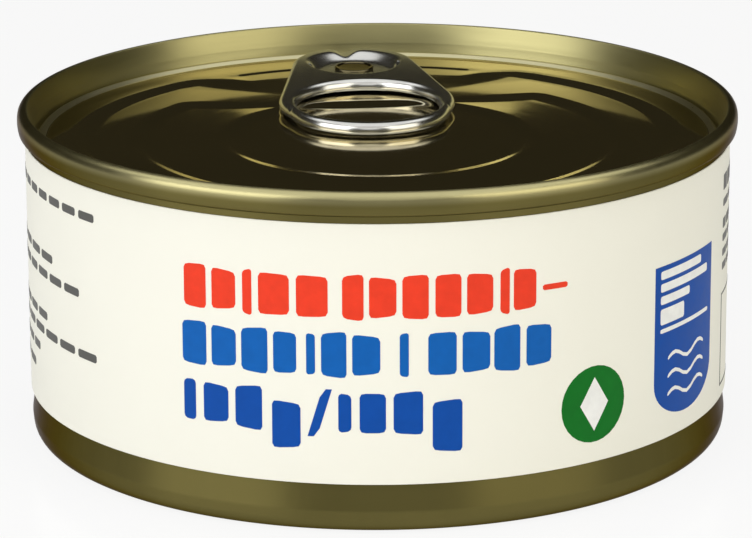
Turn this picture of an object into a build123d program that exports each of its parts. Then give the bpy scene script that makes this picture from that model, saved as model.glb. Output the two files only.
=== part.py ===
"""Shut tuna can with an easy-open end: drawn steel body, seamed lid, ring pull and paper label.

Millimetres. The origin is the centre of the plane that the can stands on, +Z is up, and the
middle of the label's print faces -Y. The lid and its pull are turned a little about +Z.
"""

from build123d import *
import os
from math import sqrt

# Whole can
CAN_HEIGHT = 40.1
SEAM_DIAMETER = 86.4
BODY_DIAMETER = 84.2

# Body: rounded lower corner, foot ring and a recessed bottom with two pressed steps
CORNER_RADIUS = 3.45
FOOT_WIDTH = 1.7
BOTTOM_RECESS = 1.5
BOTTOM_WALL_DRAFT = 0.9
BOTTOM_STEP_RADII = (31.5, 22.5)
BOTTOM_STEP_DROP = 0.35
BODY_TOP = 34.8

# Label: one turn of paper round the wall
LABEL_BOTTOM = 6.0
LABEL_TOP = 36.4
LABEL_THICKNESS = 0.15

# Lid, seen from outside in: seam, chuck wall, groove, then the pressed panel
SEAM_UNDERSIDE = 37.4
SEAM_THICKNESS = 1.45
SEAM_CROWN_RADIUS = 0.45
CHUCK_WALL_FOOT_RADIUS = 41.35
GROOVE_FLOOR = 35.95
GROOVE_WIDTH = 0.35
RIM_RADIUS = 40.85
RIM_LEVEL = 36.2
STEP_RADII = (36.4, 29.4, 19.0)
STEP_WIDTHS = (1.5, 1.6, 1.8)
STEP_DROPS = (0.45, 0.3, 0.3)
STEP_ROUNDING = 0.6
LID_TURN = 5.5

# Straight step that closes the second panel step off behind the ring
CHORD_OFFSET = 17.9
CHORD_SLOPE_WIDTH = 1.6

# Curved groove under the nose of the pull
NOSE_GROOVE_RADIUS = 32.9
NOSE_GROOVE_WIDTH = 2.4
NOSE_GROOVE_DEPTH = 0.25
NOSE_GROOVE_SPAN = 50.0

# Ring pull, in its own frame: Y runs from the finger end at 0 to the nose, Z = 0 is its underside
TAB_THICKNESS = 1.35
TAB_EDGE_ROUNDING = 0.6
FINGER_END = (0.1, 9.8)
SHOULDERS = (2.75, 10.85)
NOSE = (23.0, 7.9)
FINGER_HOLE_WIDTH = 17.5
FINGER_HOLE_START = 2.2
FINGER_HOLE_END = 21.5
RIVET_Y = 30.8
ISLAND_RADIUS = 5.4
ISLAND_DEPTH = 0.7
SLIT_WIDTH = 0.5
SLIT_SPAN = 196.0
NOTCH_WIDTH = 2.2
NOTCH_DEPTH = 0.6
TAB_FRONT_HEIGHT = 35.4
TAB_TILT = 1.36

# Rivet, drawn up out of the lid and headed over the pull
RIVET_STEM_RADIUS = 1.7
RIVET_BOSS_RADIUS = 2.9
RIVET_HEAD_RADIUS = 2.45
RIVET_HEAD_HEIGHT = 0.35
RIVET_DISH_RADIUS = 1.9
RIVET_DISH_DEPTH = 0.15

seam_radius = SEAM_DIAMETER / 2
body_radius = BODY_DIAMETER / 2
panel_levels = [RIM_LEVEL - sum(STEP_DROPS[:count]) for count in range(len(STEP_DROPS) + 1)]


def turned(corners, roundings):
    """Solid of revolution about Z from (radius, height) corners, each with its own rounding."""
    outline = FilletPolyline(*corners, radius=roundings, close=True)
    return revolve(Plane.XZ * make_face(outline), axis=Axis.Z)


def profile(*rows):
    """Corner and rounding lists from rows of (radius, height, rounding)."""
    corners = [(radius, height) for radius, height, _ in rows]
    return corners, [rounding for _, _, rounding in rows]


def make_body():
    """Drawn body: one solid, because the can is shut."""
    foot_outer = body_radius - CORNER_RADIUS
    foot_inner = foot_outer - FOOT_WIDTH
    rows = [
        (0, BODY_TOP, 0),
        (body_radius, BODY_TOP, 0),
        (body_radius, 0, CORNER_RADIUS),
        (foot_inner, 0, STEP_ROUNDING),
        (foot_inner - BOTTOM_WALL_DRAFT, BOTTOM_RECESS, STEP_ROUNDING),
    ]
    level = BOTTOM_RECESS
    for radius in BOTTOM_STEP_RADII:
        rows.append((radius, level, STEP_ROUNDING))
        level -= BOTTOM_STEP_DROP
        rows.append((radius - STEP_WIDTHS[0], level, STEP_ROUNDING))
    rows.append((0, level, 0))
    return turned(*profile(*rows))


def make_label():
    """Paper sleeve that lies on the wall."""
    outer = Cylinder(body_radius + LABEL_THICKNESS, LABEL_TOP - LABEL_BOTTOM)
    sleeve = outer - Cylinder(body_radius, LABEL_TOP - LABEL_BOTTOM)
    return Pos(0, 0, (LABEL_TOP + LABEL_BOTTOM) / 2) * sleeve


def make_end():
    """Seam, chuck wall and panel with its pressed steps, all turned about Z."""
    seam_inner = seam_radius - SEAM_THICKNESS
    rows = [
        (0, BODY_TOP, 0),
        (body_radius, BODY_TOP, 0),
        (body_radius, SEAM_UNDERSIDE, 0),
        (seam_radius - 0.15, SEAM_UNDERSIDE, SEAM_CROWN_RADIUS),
        (seam_radius, CAN_HEIGHT - 1.3, SEAM_CROWN_RADIUS),
        (seam_radius - 0.1, CAN_HEIGHT, SEAM_CROWN_RADIUS),
        (seam_inner, CAN_HEIGHT, SEAM_CROWN_RADIUS),
        (CHUCK_WALL_FOOT_RADIUS, GROOVE_FLOOR, 0.1),
        (CHUCK_WALL_FOOT_RADIUS - GROOVE_WIDTH, GROOVE_FLOOR, 0.1),
        (RIM_RADIUS, RIM_LEVEL, 0.1),
    ]
    for index, (radius, width) in enumerate(zip(STEP_RADII, STEP_WIDTHS)):
        rows.append((radius, panel_levels[index], STEP_ROUNDING))
        rows.append((radius - width, panel_levels[index + 1], STEP_ROUNDING))
    rows.append((0, panel_levels[-1], 0))
    return turned(*profile(*rows))


def chord_segment(offset, radius, level):
    """Face of the circular segment beyond a straight line across the lid."""
    half_width = sqrt(radius**2 - offset**2)
    line = Line((-half_width, offset), (half_width, offset))
    arc = ThreePointArc((half_width, offset), (0, radius), (-half_width, offset))
    return Pos(0, 0, level) * make_face([line, arc])


def make_chord_fill():
    """Raised segment with a sloping straight edge that cuts the second step short."""
    top = chord_segment(CHORD_OFFSET, STEP_RADII[1] + 1, panel_levels[1])
    foot = chord_segment(CHORD_OFFSET - CHORD_SLOPE_WIDTH, STEP_RADII[1] + 1, panel_levels[2])
    slope = loft([foot, top], ruled=True)
    under = extrude(foot, amount=BODY_TOP - panel_levels[2])
    return slope + under


def make_nose_groove():
    """Shallow curved groove that gives the nose room to dip."""
    path = CenterArc((0, 0), NOSE_GROOVE_RADIUS, 90 - NOSE_GROOVE_SPAN / 2, NOSE_GROOVE_SPAN)
    floor = panel_levels[1] - NOSE_GROOVE_DEPTH
    return Pos(0, 0, floor) * extrude(SlotArc(path, NOSE_GROOVE_WIDTH), amount=2)


def tab_outline():
    """Rounded outline of the pull: the hull of finger end, shoulders and nose circles."""
    circles = [
        Pos(0, start + radius) * CenterArc((0, 0), radius, 0, 360)
        for start, radius in (FINGER_END, SHOULDERS, NOSE)
    ]
    return make_hull([circle.edge() for circle in circles])


def make_tab():
    """Ring pull in its own frame, with rolled edges, finger hole, island and slit."""
    tab = extrude(tab_outline(), amount=TAB_THICKNESS)
    hole_length = FINGER_HOLE_END - FINGER_HOLE_START
    hole = SlotOverall(hole_length, FINGER_HOLE_WIDTH, rotation=90)
    tab -= Pos(0, FINGER_HOLE_START + hole_length / 2, 0) * extrude(hole, amount=TAB_THICKNESS)
    rims = tab.edges().filter_by(Plane.XY)
    tab = fillet(rims, TAB_EDGE_ROUNDING)
    floor = TAB_THICKNESS - ISLAND_DEPTH
    tab -= Pos(0, RIVET_Y, floor) * extrude(Circle(ISLAND_RADIUS), amount=TAB_THICKNESS)
    slit_path = CenterArc((0, 0), ISLAND_RADIUS - SLIT_WIDTH, 270 - SLIT_SPAN / 2, SLIT_SPAN)
    tab -= Pos(0, RIVET_Y, 0) * extrude(SlotArc(slit_path, SLIT_WIDTH), amount=TAB_THICKNESS)
    notch = extrude(SlotOverall(NOTCH_WIDTH * 4, NOTCH_WIDTH, rotation=90), amount=TAB_THICKNESS)
    tab -= Pos(0, NOSE[0] + 2 * NOSE[1], TAB_THICKNESS - NOTCH_DEPTH) * notch
    tab -= Pos(0, RIVET_Y, 0) * extrude(Circle(RIVET_STEM_RADIUS), amount=TAB_THICKNESS)
    return tab


def make_rivet():
    """Boss under the pull, stem through it and dished head over it, in the pull's frame."""
    floor = TAB_THICKNESS - ISLAND_DEPTH
    boss = Cylinder(RIVET_BOSS_RADIUS, 1, align=(Align.CENTER, Align.CENTER, Align.MAX))
    stem = extrude(Circle(RIVET_STEM_RADIUS), amount=floor)
    head = Pos(0, 0, floor) * extrude(Circle(RIVET_HEAD_RADIUS), amount=RIVET_HEAD_HEIGHT)
    dish_floor = floor + RIVET_HEAD_HEIGHT - RIVET_DISH_DEPTH
    dish = Pos(0, 0, dish_floor) * extrude(Circle(RIVET_DISH_RADIUS), amount=RIVET_HEAD_HEIGHT)
    return Pos(0, RIVET_Y, 0) * (boss + stem + head - dish)


# Places the pull's frame on the lid, tipped up towards its nose
seat = Rot(0, 0, LID_TURN) * Pos(0, 0, TAB_FRONT_HEIGHT) * Rot(TAB_TILT, 0, 0)

body = make_body()
label = make_label()
turn = Rot(0, 0, LID_TURN)
lid = make_end() + turn * make_chord_fill() - turn * make_nose_groove() + seat * make_rivet()
pull_tab = seat * make_tab()

os.makedirs("parts", exist_ok=True)
for name, shape in {
    "can_body": body,
    "label": label,
    "lid": lid,
    "pull_tab": pull_tab,
}.items():
    shape.label = name
    export_step(shape, f"parts/{name}.step")
    print(name, round(shape.volume), shape.bounding_box().size)
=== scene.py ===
"""Shut tuna can: drawn body, seamed easy-open end with a ring pull, and a printed paper label.

Metres, +Z up. The can stands on Z = 0 about the Z axis, and the middle of the print faces -Y.
"""

import math

import bpy
import numpy as np
from bpy.props import FloatProperty, FloatVectorProperty, PointerProperty
from mathutils import Matrix, Vector


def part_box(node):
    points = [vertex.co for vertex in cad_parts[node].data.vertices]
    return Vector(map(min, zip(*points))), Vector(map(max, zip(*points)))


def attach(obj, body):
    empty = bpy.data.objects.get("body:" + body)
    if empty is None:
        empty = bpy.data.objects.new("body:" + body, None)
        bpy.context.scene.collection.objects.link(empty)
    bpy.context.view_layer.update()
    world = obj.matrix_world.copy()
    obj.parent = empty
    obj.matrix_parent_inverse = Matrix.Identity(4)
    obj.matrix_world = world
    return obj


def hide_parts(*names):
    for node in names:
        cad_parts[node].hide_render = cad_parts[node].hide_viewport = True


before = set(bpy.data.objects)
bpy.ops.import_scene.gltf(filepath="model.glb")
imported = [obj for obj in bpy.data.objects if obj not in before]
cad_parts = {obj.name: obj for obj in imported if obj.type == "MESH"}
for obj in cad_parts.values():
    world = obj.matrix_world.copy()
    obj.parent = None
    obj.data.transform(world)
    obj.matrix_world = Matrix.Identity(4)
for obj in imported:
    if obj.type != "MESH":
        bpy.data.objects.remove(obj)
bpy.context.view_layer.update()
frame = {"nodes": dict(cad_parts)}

bl_info = {
    "name": "Tuna Can Maker",
    "version": (1, 0, 0),
    "blender": (4, 5, 0),
    "location": "3D View > Sidebar > Tuna Can",
    "description": "Builds a shut tuna can with a ring-pull end and a printed paper label",
    "category": "Add Mesh",
}

MM = 0.001
BODY_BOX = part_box("can_body")
LABEL_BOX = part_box("label")
END_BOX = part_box("lid")

# Mesh: points round the can, innermost ring, and how far the print stands off the paper
AROUND = 600
HUB = 0.5 * MM
PRINT_PROUD = 0.03 * MM
INLAY_PROUD = 0.05 * MM
STRIP_WIDTH = 0.6 * MM

# Radii of the panel's mesh rings in millimetres: start, end and spacing
HUB_RINGS = (0.5, 14.5, 1.0)
STEP_RINGS = (14.5, 39.4, 0.42)
# Further rings, in millimetres from the tear line and from the bead
SCORE_RINGS = (-0.3, -0.18, -0.12, -0.06, 0, 0.06, 0.12, 0.18, 0.3)
BEAD_RINGS = (-0.8, -0.62, -0.48, -0.36, -0.26, -0.16, -0.06, 0.04, 0.12, 0.2)

# Degrees past the arc groove's half angle between which each shape behind the pull dies away
BAY_TOP_FADE = (-5, 9)
BAY_FADE = (3, 15)
GROOVE_FADE = (-4, 1)
# Least share of the distance from the middle by which the bay's foot is reckoned
LEAST_SPREAD = 0.2

# Rivet in millimetres: radius, height and rounding of each corner
RIVET_OVER_ISLAND = (
    (0.05, 0.30, 0),  # middle of the dish
    (2.0, 0.31, 0.4),  # foot of the lip
    (2.25, 0.44, 0.08),  # crest of the lip, inside
    (2.4, 0.42, 0.08),  # crest of the lip, outside
    (2.5, 0.3, 0.08),  # widest line of the head
    (2.42, -0.02, 0.05),  # lower edge of the head
    (1.65, -0.05, 0.05),  # top of the stem
)
RIVET_OVER_PULL_FOOT = (
    (1.65, 0.1, 0.3),  # foot of the stem
    (2.9, -0.05, 0.3),  # top of the boss
    (3.1, -1.2, 0),  # foot of the boss, inside the panel
    (0.05, -1.2, 0),
)

# Print in millimetres. Bars of the rows: left end, from the middle of the print, and width
RED_BARS = ((-22.9, 3.1), (-19.3, 3.2), (-15.5, 1.2), (-13.6, 3.9), (-9.2, 3.9), (-4.0, 2.6),
            (-1.0, 3.3), (2.7, 3.2), (6.4, 3.2), (10.0, 3.3), (13.9, 1.2), (15.5, 3.0))
BLUE_BARS = ((-23.2, 3.4), (-19.4, 3.3), (-15.7, 3.4), (-11.9, 2.9), (-8.1, 1.1), (-6.4, 3.1),
             (-2.9, 3.4), (2.4, 1.1), (5.6, 3.5), (9.5, 3.5), (13.2, 3.4), (17.1, 3.4))
NAVY_BARS = ((-23.1, 1.7), (-20.5, 3.4), (-16.5, 3.5), (-4.5, 1.6), (-2.1, 3.2), (1.7, 3.6))
# Bars in the field: height, length and thickness. Waves below them: height
FIELD_BARS = ((25.9, 9.3, 1.0), (24.4, 11.2, 1.0), (22.9, 6.3, 1.0), (20.9, 5.0, 1.9),
              (19.2, 11.6, 0.5))
FIELD_WAVES = (15.6, 13.4, 11.2)
# Small lines at the left: height and right end. Small lines at the right: height and thickness
LEFT_LINES = ((32.9, -37.0), (25.6, -47.2), (23.3, -40.4), (18.1, -49.4), (16.1, -37.0),
              (13.6, -52.7), (10.9, -55.4))
RIGHT_LINES = ((32.7, 1.9), (30.2, 0.9), (27.7, 1.2), (25.9, 0.9), (24.1, 0.9), (22.4, 0.9))
RIGHT_START = 55.3
LINES_END = 78

# Lamps in metres and watts: name, place, height aimed at, size, power and colour
LAMPS = (
    ("left_box", (-0.715, -0.53, 0.398), 0.02, (0.83, 0.64), 5.4, (1.0, 0.995, 0.985)),
    ("right_box", (0.70, -0.55, 0.398), 0.02, (0.78, 0.64), 3.7, (1.0, 0.955, 0.83)),
    ("front_box", (0.0, -0.80, 0.78), 0.02, (1.3, 0.70), 2.6, (1.0, 0.99, 0.97)),
    ("front_fill", (0.0, -0.93, 0.39), 0.03, (0.45, 0.26), 0.36, (1.0, 0.99, 0.97)),
    ("left_side", (-0.78, 0.18, 0.90), 0.03, (0.6, 0.4), 0.8, (1.0, 1.0, 0.99)),
    ("right_side", (0.78, 0.18, 0.90), 0.03, (0.6, 0.4), 0.7, (1.0, 1.0, 0.97)),
    ("top_box", (0.0, 0.03, 1.1), 0.0, (1.7, 1.4), 9.3, (1.0, 1.0, 1.0)),
)


# ---------------------------------------------------------------- properties


def size(name, description, default):
    """A length property."""
    return FloatProperty(name=name, description=description, default=default, unit="LENGTH")


def sizes(name, description, *millimetres):
    """A property of several lengths, given in millimetres."""
    default = [length * MM for length in millimetres]
    return FloatVectorProperty(
        name=name, description=description, default=default, size=len(default), unit="LENGTH"
    )


def turn(name, description, degrees):
    """An angle property."""
    default = math.radians(degrees)
    return FloatProperty(name=name, description=description, default=default, subtype="ANGLE")


def colour(name, description, default):
    """A colour property."""
    return FloatVectorProperty(
        name=name, description=description, default=default, size=3, subtype="COLOR"
    )


def amount(name, description, default):
    """A plain number property."""
    return FloatProperty(name=name, description=description, default=default)


class BodySizes(bpy.types.PropertyGroup):
    """Sizes of the drawn body."""

    radius: size("Radius", "Radius of the drawn wall", BODY_BOX[1].x)
    top: size("Top", "Height where the end takes over", END_BOX[0].z)
    waist: size("Waist", "Level of the shallow waist at the label's lower edge", 6.9 * MM)
    waist_depth: size("Waist depth", "Depth of that waist", 0.5 * MM)
    waist_bends: sizes("Waist bends", "Roundings above and at the waist", 1.5, 1.0)
    belly: size("Belly", "Level where the wall is widest", 2.7 * MM)
    belly_swell: size("Belly swell", "How far the belly stands out", 0.06 * MM)
    belly_rounding: size("Belly rounding", "Rounding of the belly", 2.0 * MM)
    foot_inset: size("Foot inset", "How far the wall draws in below the belly", 0.2 * MM)
    corner: size("Corner", "Rounding between wall and foot", 1.9 * MM)
    foot_width: size("Foot width", "Width of the ring that the can stands on", 1.7 * MM)
    recess: size("Recess", "Height of the bottom panel above the foot", 1.5 * MM)
    wall_draft: size("Wall draft", "Lean of the wall inside the foot", 0.9 * MM)
    step_radii: sizes("Step radii", "Outer radii of the bottom steps", 31.5, 22.5)
    step_drop: size("Step drop", "Height of each bottom step", 0.35 * MM)
    step_width: size("Step width", "Width of each bottom slope", 1.5 * MM)
    step_rounding: size("Step rounding", "Rounding of the bottom steps", 0.6 * MM)


class EndSizes(bpy.types.PropertyGroup):
    """Sizes of the seamed end and its pressed panel."""

    seam_radius: size("Seam radius", "Outside of the double seam", END_BOX[1].x)
    height: size("Height", "Top of the double seam", END_BOX[1].z)
    seam_foot: size("Seam foot", "Underside of the double seam", 37.4 * MM)
    seam_thickness: size("Seam thickness", "Width of the double seam", 1.3 * MM)
    seam_crest: sizes("Seam crest", "Inset and rounding of its outer crest", 0.2, 0.98)
    seam_side: sizes("Seam side", "Height and rounding of its widest line", 1.1, 4.0)
    seam_hem: sizes("Seam hem", "Inset and rounding of its lower edge", 0.22, 0.3)
    seam_heel: sizes("Seam heel", "Width, rise and rounding of its inner edge", 0.3, 0.05, 0.1)
    neck_bend: sizes("Neck bend", "Drop and rounding of the bend to the neck", 0.25, 0.15)
    # Depths below the crest between which the paler colour of the painted crest highlight sets in
    crest_highlight_band: sizes("Worn band", "Depths below the crest where thin lacquer starts and ends", 1.7, 0.3)
    wall_foot: size("Wall foot", "Radius at the foot of the chuck wall", 41.08 * MM)
    wall_bow: sizes("Wall bow", "Run, rise and rounding of the wall's lower part", 0.26, 1.7, 3.0)
    wall_crest: sizes("Wall crest", "Run and rounding where the wall meets the seam", 0.02, 0.2)
    groove_floor: size("Groove floor", "Height of the groove inside the wall", 35.95 * MM)
    groove_start: size("Groove start", "Distance of its floor from the bead", 0.3 * MM)
    groove_end: size("Groove end", "Distance of its floor from the wall foot", 0.02 * MM)
    groove_bends: sizes("Groove bends", "Roundings of its two corners", 0.08, 0.12)
    panel_end: sizes("Panel end", "Distance from the bead and height over the groove", 0.2, 0.12)
    shoulder_radius: size("Shoulder radius", "Bead inside the groove", 40.62 * MM)
    shoulder_level: size("Shoulder level", "Top of that bead", 36.75 * MM)
    bead_slope: sizes("Bead slope", "Foot and head of its inner slope", 0.8, 0.1)
    bead_top: sizes("Bead top", "Outer end and fall of its top", 0.12, 0.03)
    # Width of the band that takes the paler bead colour, a painted highlight
    bead_highlight_width: size("Bead finish", "Width of the band finished as the bead", 0.9 * MM)
    rim_level: size("Rim level", "Height of the outer flat", 36.2 * MM)
    step_radii: sizes("Step radii", "Outer radii of the steps", 36.4, 29.4, 19.0)
    step_widths: sizes("Step widths", "Widths of the slopes", 1.9, 1.6, 1.7)
    step_feet: sizes("Step feet", "Heights of the slopes' feet", 35.72, 35.42, 35.12)
    step_rounding: size("Step rounding", "Rounding of the steps", 0.35 * MM)
    middle_rise: size("Middle rise", "Rise of the middle flat", 0.04 * MM)
    flat_lean: turn("Flat lean", "Rise of the flats towards the middle", 0.2)
    crown_radius: size("Crown radius", "Where the middle flat starts to curve up", 26.0 * MM)
    crown_curve: amount("Crown curve", "Rise for each squared length inwards", 5.2)
    back_lean: turn("Back lean", "The same behind the straight step", 0.3)
    lid_turn: turn("Turn", "Turn of the end on the can", 5.5)
    straight_step: size("Straight step", "Distance of the straight step from the middle", 17.3 * MM)
    straight_width: size("Straight width", "Width of the straight slope", 1.6 * MM)
    straight_bow: amount("Straight bow", "Bow of the straight step for each squared length", 4.5)
    straight_rounding: size("Straight rounding", "Rounding of the straight step", 0.3 * MM)
    bay_start: size("Bay start", "Distance of the bay's foot from the middle", 18.3 * MM)
    bay_spread: amount("Bay spread", "How far that foot runs back for each length to the side", 0.375)
    bay_rounding: size("Bay rounding", "Rounding where that foot meets the outer step", 1.5 * MM)
    bay_top: size("Bay top", "Radius where the bay meets the arc groove", 31.5 * MM)
    bay_turn: turn("Bay turn", "Half angle of the arc groove", 28.0)
    groove_radius: size("Groove radius", "Outer edge of the arc groove", 34.7 * MM)
    groove_wall: size("Groove wall", "Width of the groove's steep outer side", 0.55 * MM)
    groove_depth: size("Groove depth", "Depth of the arc groove", 0.14 * MM)
    score_radius: size("Score radius", "Radius of the tear line", 39.95 * MM)
    score_width: size("Score width", "Width of the tear line", 0.24 * MM)
    score_depth: size("Score depth", "Depth of the tear line", 0.07 * MM)


class PullSizes(bpy.types.PropertyGroup):
    """Sizes of the ring pull in its own frame, whose Y runs from the finger end to the nose."""

    thickness: size("Thickness", "Height of the rolled rim", 1.57 * MM)
    roll: size("Roll", "Width of the rolled rim's rounding", 0.75 * MM)
    face_foot: size("Face foot", "Height of the rim's widest line", 0.5 * MM)
    finger_end: sizes("Finger end", "Middle and radius of the finger end", 9.9, 9.8)
    shoulders: sizes("Shoulders", "Middle and radius of the widest part", 13.6, 10.85)
    nose: sizes("Nose", "Middle and radius of the nose", 30.9, 7.9)
    hole_radius: size("Hole radius", "Radius of the finger hole", 8.75 * MM)
    hole_ends: sizes("Hole ends", "Middles of the hole's two arcs", 10.95, 12.75)
    rivet_place: size("Rivet place", "Distance of the rivet from the finger end", 30.8 * MM)
    island_radius: size("Island radius", "Radius of the sunk island", 5.3 * MM)
    island_depth: size("Island depth", "Depth of the island", 1.0 * MM)
    island_wall: sizes("Island wall", "Head and foot of its wall, out and in from there", 0.35, 0.15)
    island_bend: size("Island bend", "Rounding of that wall", 0.2 * MM)
    dish_radius: size("Dish radius", "Radius of the dished wall behind the rivet", 5.75 * MM)
    dish_range: sizes("Dish range", "Where the dished wall sets in, from the rivet", -1.5, 2.5)
    dish_slope: size("Dish slope", "How much further in its foot lies", 0.9 * MM)
    dish_bend: size("Dish bend", "How much rounder it is", 0.15 * MM)
    slit_radius: size("Slit radius", "Radius of the slit round the island", 5.6 * MM)
    slit_width: size("Slit width", "Width of that slit", 0.5 * MM)
    slit_span: turn("Slit span", "Angle that the slit covers", 190.0)
    notch_width: size("Notch width", "Half width of the channel in the nose", 1.15 * MM)
    notch_depth: size("Notch depth", "Depth of that channel", 0.6 * MM)
    notch_offset: size("Notch offset", "How far it lies to the left", 0.6 * MM)
    notch_range: sizes("Notch range", "Where it sets in, from the rivet", 2.5, 4)
    nick_place: sizes("Nick place", "Place of the nick at either shoulder", 9.8, 9.1)
    nick_radius: size("Nick radius", "Radius of those nicks", 0.32 * MM)
    nick_depth: size("Nick depth", "Depth of those nicks", 0.14 * MM)
    hollow_range: sizes("Hollow range", "Where the hollow underside sets in, from the edge", 1.3, 2.2)
    hollow_depth: size("Hollow depth", "Depth of the hollow underside", 0.25 * MM)
    seat_height: size("Seat height", "Underside of the finger end", 35.58 * MM)
    tilt: turn("Tilt", "Rise of the pull towards its nose", 0.95)


class LabelSizes(bpy.types.PropertyGroup):
    """Sizes of the paper label."""

    radius: size("Radius", "Outside of the paper", LABEL_BOX[1].x)
    bottom: size("Bottom", "Lower edge of the paper", LABEL_BOX[0].z)
    top: size("Top", "Upper edge of the paper", LABEL_BOX[1].z)
    thickness: size("Thickness", "Thickness of the paper", 0.13 * MM)
    lap: size("Lap", "Width of the glued overlap at the back", 6.0 * MM)
    lap_step: size("Lap step", "Height of the overlap", 0.06 * MM)


class PrintSizes(bpy.types.PropertyGroup):
    """Sizes of the print. Places along the label are measured from the middle of the print."""

    red_row: sizes("Red row", "Lower and upper edge", 25.4, 30.5)
    blue_row: sizes("Blue row", "Lower and upper edge", 18.7, 23.8)
    navy_row: sizes("Navy row", "Lower and upper edge", 12.0, 16.9)
    bar_fill: amount("Bar fill", "Share of a bar's width that is inked", 0.92)
    bar_inset: size("Bar inset", "Gap above and below a bar in its row", 0.12 * MM)
    bar_lean: size("Bar lean", "Largest slope of a bar's edges", 0.35 * MM)
    bar_corner: size("Bar corner", "Largest rounding of a bar", 0.5 * MM)
    dash: sizes("Dash", "Left, right, lower and upper edge", 19.1, 22.3, 27.5, 28.15)
    dash_corner: size("Dash corner", "Rounding of the dash", 0.15 * MM)
    first_drop: sizes("First low bar", "Left, right, lower and upper edge", -12.1, -8.8, 9.95, 15.6)
    second_drop: sizes("Second low bar", "Left, right, lower and upper edge", 6.1, 9.5, 9.95, 15.6)
    drop_lean: size("Low bar lean", "Slope of the low bars' edges", 0.3 * MM)
    slash: sizes("Slash", "Left, right, lower and upper end", -8.0, -5.2, 11.6, 17.2)
    slash_width: size("Slash width", "Width of the slanted bar", 1.1 * MM)
    disc: sizes("Disc", "Place, height and radius", 26.2, 12.95, 4.55)
    diamond: sizes("Diamond", "Half width and half height", 2.0, 3.2)
    field: sizes("Field", "Middle and half width", 42.9, 6.95)
    field_levels: sizes("Field levels", "Lowest point, end of the curve and top", 8.4, 12.9, 27.0)
    field_bars: size("Field bars", "Left end of the bars in the field", 37.0 * MM)
    waves: sizes("Waves", "Left and right end, swing and half width", 38.6, 47.4, 0.55, 0.22)
    fine_corner: size("Fine corner", "Rounding of the small bars", 0.2 * MM)
    left_line: size("Left lines", "Height of the small lines at the left", 1.0 * MM)
    frame: sizes("Frame", "Left, right, lower and upper edge of the thin frame", 55.1, 80.0, 7.7, 19.0)
    frame_line: size("Frame line", "Width of its lines", 0.24 * MM)


class Finishes(bpy.types.PropertyGroup):
    """Colours of the can. The one gold lacquer comes in lighter and darker copies that paint light and
    shade.
    """

    # Darkened copy of the gold lacquer: painted shade, so the body and seam read dark where they mirror
    # the pale floor
    shaded_gold: colour("Gold", "Gold lacquer of the body and end", (0.135, 0.115, 0.038))
    # Paler copy of the gold lacquer on the bead: a painted highlight line at the wall's foot
    bead_highlight_gold: colour("Bead", "Lacquer on the bead at the foot of the wall", (0.49, 0.46, 0.28))
    # Paler copy of the gold lacquer along the seam's crest: a painted highlight, not thinner lacquer
    crest_highlight_gold: colour("Crest", "Thin lacquer along the seam's crest", (0.42, 0.385, 0.20))
    # Paler copy of the gold lacquer on the chuck wall: painted light for its bright reflections
    lit_wall_gold: colour("Wall gold", "Gold lacquer of the chuck wall", (0.312, 0.287, 0.137))
    # Much paler copy of the gold lacquer on the panel: painted light, set for the low view from the
    # front
    lit_panel_gold: colour("Panel gold", "Gold lacquer of the pressed panel", (0.665, 0.63, 0.50))
    edge_gold: colour("Edge gold", "Tint of the body's lacquer at a low angle", (0.39, 0.345, 0.355))
    panel_edge: colour("Panel edge", "Tint of the panel's lacquer at a low angle", (0.98, 0.90, 0.70))
    # Darker copy of the gold lacquer on the rivet: painted shade on its head
    shaded_rivet_gold: colour("Rivet gold", "Gold lacquer of the rivet", (0.14, 0.12, 0.065))
    steel: colour("Steel", "Bare steel of the ring pull", (0.53, 0.53, 0.51))
    paper: colour("Paper", "Cream paper", (0.87, 0.865, 0.78))
    red: colour("Red", "Red ink", (0.80, 0.050, 0.020))
    blue: colour("Blue", "Blue ink", (0.004, 0.110, 0.43))
    navy: colour("Navy", "Darker blue ink", (0.003, 0.068, 0.36))
    green: colour("Green", "Green ink", (0.003, 0.150, 0.014))
    grey: colour("Grey", "Grey ink", (0.10, 0.10, 0.095))
    white: colour("White", "Unprinted shapes in a coloured field", (0.86, 0.87, 0.86))


class StageSettings(bpy.types.PropertyGroup):
    """Floor, surroundings and camera."""

    floor_size: size("Floor size", "Length of the floor's sides", 6.0)
    floor_roughness: amount("Floor roughness", "Roughness of the floor", 0.18)
    floor_ior: amount("Floor mirror", "Index of refraction of the floor's gloss", 2.1)
    floor_lift: amount("Floor lift", "Share of plain white in the floor's look", 0.88)
    mirror_lift: amount("Mirror lift", "Share of plain white where metal mirrors the floor", 0.6)
    floor_colour: colour("Floor", "Pale floor", (0.82, 0.82, 0.82))
    world_colour: colour("World", "Dim surroundings", (0.0260, 0.0230, 0.0135))
    camera_distance: size("Distance", "Camera in front of the can's axis", 0.478834)
    camera_height: size("Camera height", "Camera above the floor", 0.157643)
    camera_pitch: turn("Pitch", "Downward look", 16.142)
    camera_roll: turn("Roll", "Roll of the camera", 0.1925)
    camera_lens: amount("Lens", "Focal length on a 36 mm sensor", 196.57)
    camera_shift: amount("Shift", "Sideways shift", -0.00258)


# ------------------------------------------------------------------- shaping


def hinge(distance, rounding):
    """A line that is 0 below 0 and rises at 45 degrees above it, with a rounded bend."""
    bend = (distance + rounding) ** 2 / (4 * rounding)
    return np.where(distance < -rounding, 0, np.where(distance > rounding, distance, bend))


def ease(value, start, end):
    """0 before start, 1 after end, and smooth between them."""
    share = np.clip((value - start) / (end - start), 0, 1)
    return share * share * (3 - 2 * share)


def rounded_line(position, knots, rounding):
    """Heights along a chain of straight runs through (position, height) knots, bends rounded."""
    places, heights = np.array(knots).T
    slopes = np.diff(heights) / np.diff(places)
    height = heights[0] + slopes[0] * (position - places[0])
    for place, change in zip(places[1:-1], np.diff(slopes)):
        height = height + change * hinge(position - place, rounding)
    return height


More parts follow.
